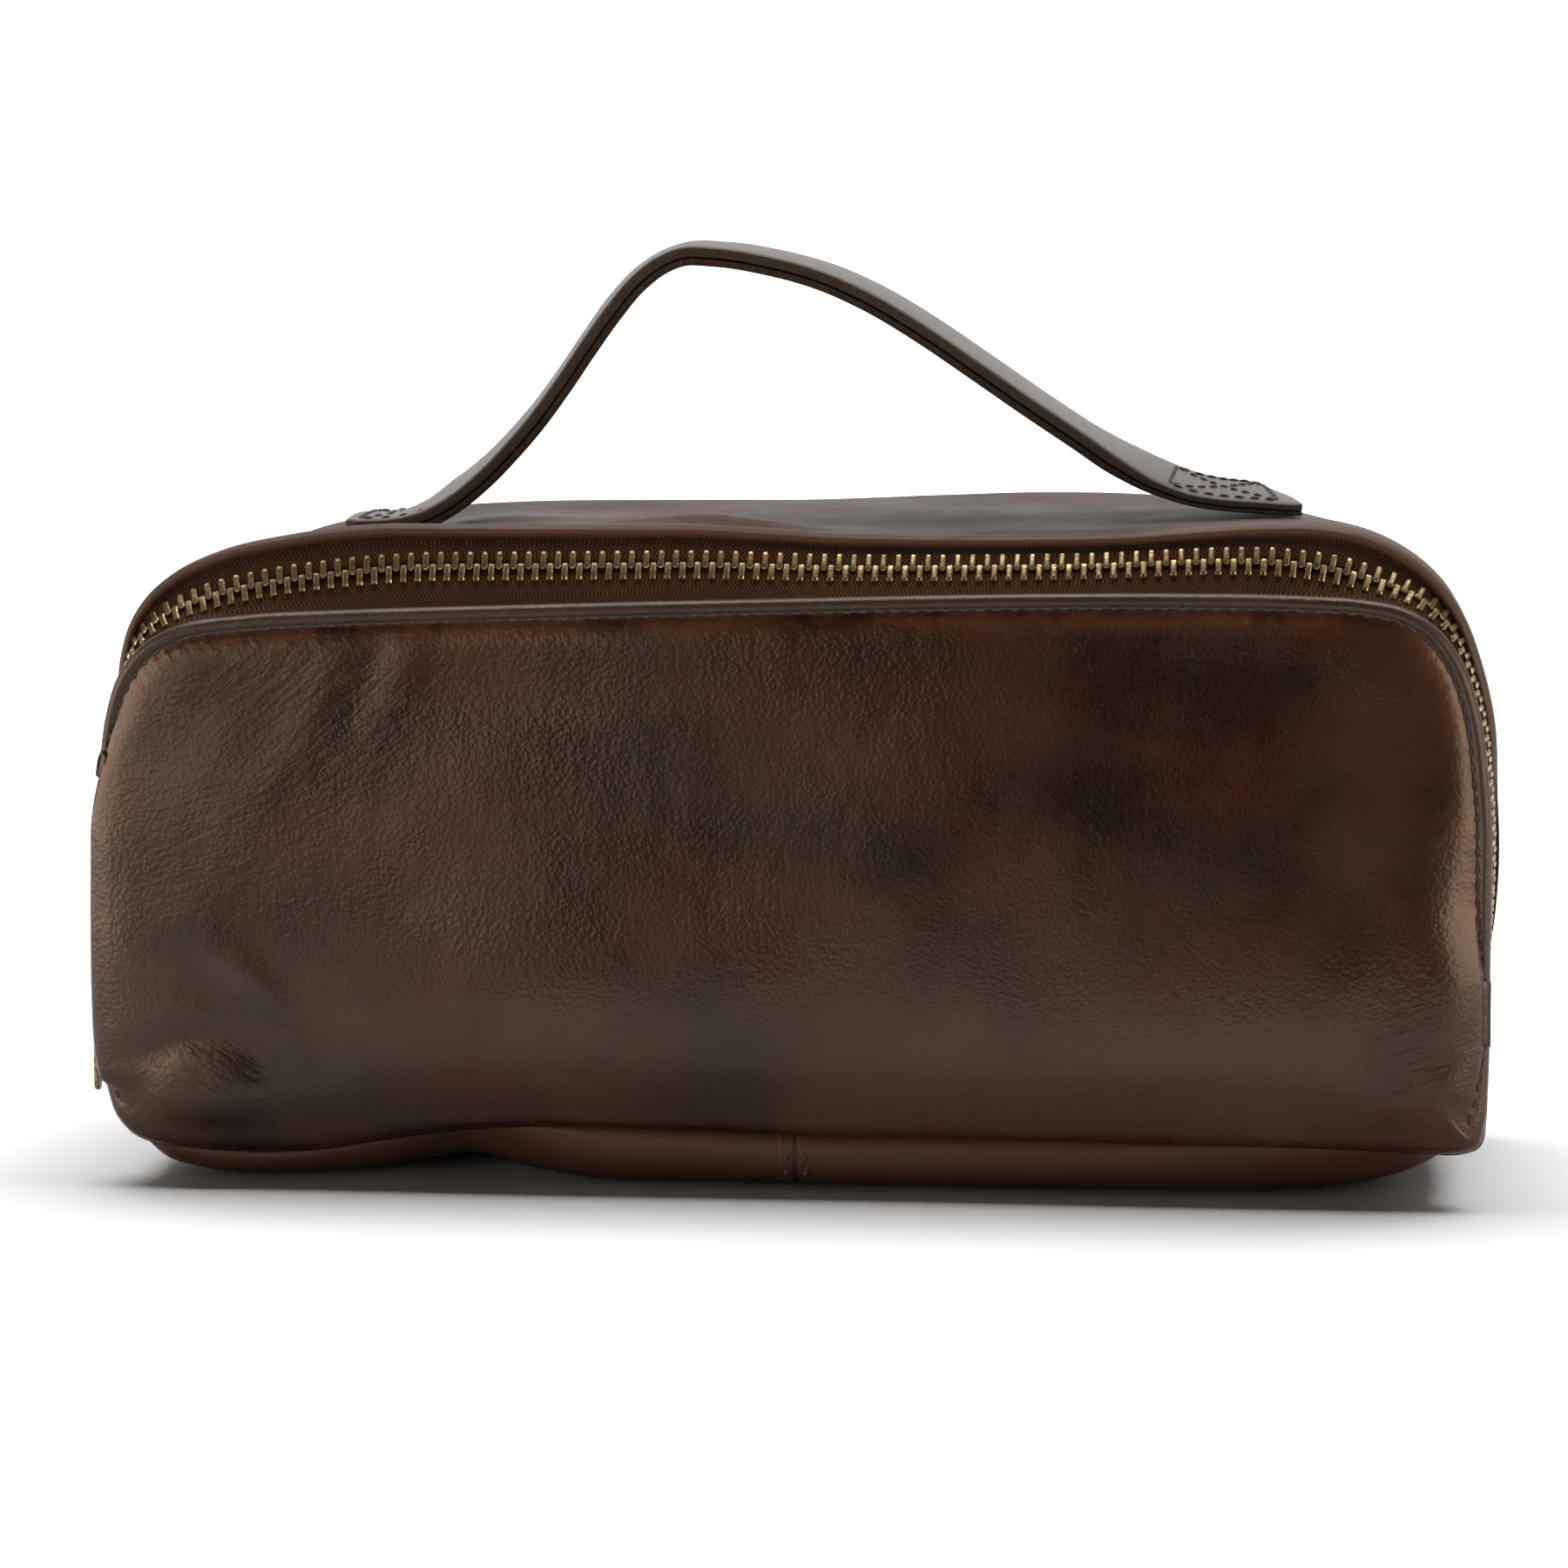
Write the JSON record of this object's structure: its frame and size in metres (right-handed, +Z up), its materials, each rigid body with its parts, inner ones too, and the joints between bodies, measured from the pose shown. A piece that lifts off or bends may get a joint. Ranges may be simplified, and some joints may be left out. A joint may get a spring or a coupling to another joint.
{
  "type": "shaving kit bag",
  "caption": "Brown leather shaving kit bag with a three-sided metal front zipper, a fold-down front panel and an arched strap handle on top.",
  "frame": {"origin": "middle of the bag's flat footprint, on the surface it stands on", "axes": "+X along the length to the right as seen from the front, +Y from the front panel to the back panel, +Z up"},
  "size_m": [0.2659, 0.1001, 0.1737],
  "materials": {
    "shell_leather": "semi-gloss burnished smooth leather, fine grain",
    "strap_leather": "satin leather with raw burnished edges",
    "zipper_tape": "woven herringbone tape",
    "antique_brass": "antique, dull",
    "lining_fabric": "plain twill",
    "sewing_thread": "bonded thread"
  },
  "bodies": {
    "bag": {"gusset_band": "shell_leather", "back_panel": "shell_leather", "back_lining": "lining_fabric", "gusset_lining": "lining_fabric", "slip_pocket": "lining_fabric", "pocket_binding": "shell_leather", "back_seam_binding": "lining_fabric", "gusset_seam_tape": "zipper_tape", "zip_tape_rear": "zipper_tape", "zip_teeth_rear": "antique_brass", "zip_top_stop_rear": "antique_brass", "zip_bottom_stop": "antique_brass", "handle_tab_left": "strap_leather", "handle_tab_right": "strap_leather", "handle_backing_left": "zipper_tape", "handle_backing_right": "zipper_tape", "bottom_seam_stitches": "sewing_thread", "handle_stitches_left": "sewing_thread", "handle_stitches_right": "sewing_thread"},
    "front_flap": {"front_panel": "shell_leather", "front_lining": "lining_fabric", "zip_tape_front": "zipper_tape", "zip_teeth_front": "antique_brass", "zip_top_stop_front": "antique_brass", "front_edge_stitches": "sewing_thread"},
    "handle": {"handle_strap": "strap_leather", "handle_strap_lining": "strap_leather"},
    "zip_slider": {"zip_slider": "antique_brass"},
    "zip_pull": {"zip_pull": "antique_brass"}
  },
  "joints": [
    {"name": "flap_fold", "type": "hinge", "parent": "bag", "child": "front_flap", "pos_m": [0, -0.045, 0.009], "axis": [1, 0, 0], "range_deg": [0, 90], "deforming": ["zip_teeth_front", "zip_teeth_rear"]},
    {"name": "handle_lean", "type": "hinge", "parent": "bag", "child": "handle", "pos_m": [0, 0, 0.136], "axis": [1, 0, 0], "range_deg": [-45, 45], "stiffness_Nm_per_rad": 0.15},
    {"name": "slider_travel", "type": "slide", "parent": "bag", "child": "zip_slider", "axis": [0, 0, 1], "range_m": [0, 0.039]},
    {"name": "pull_swing", "type": "hinge", "parent": "zip_slider", "child": "zip_pull", "pos_m": [-0.13304, -0.04068, 0.034], "axis": [-0.0555, 0.9985, 0], "range_deg": [0, 170]}
  ]
}
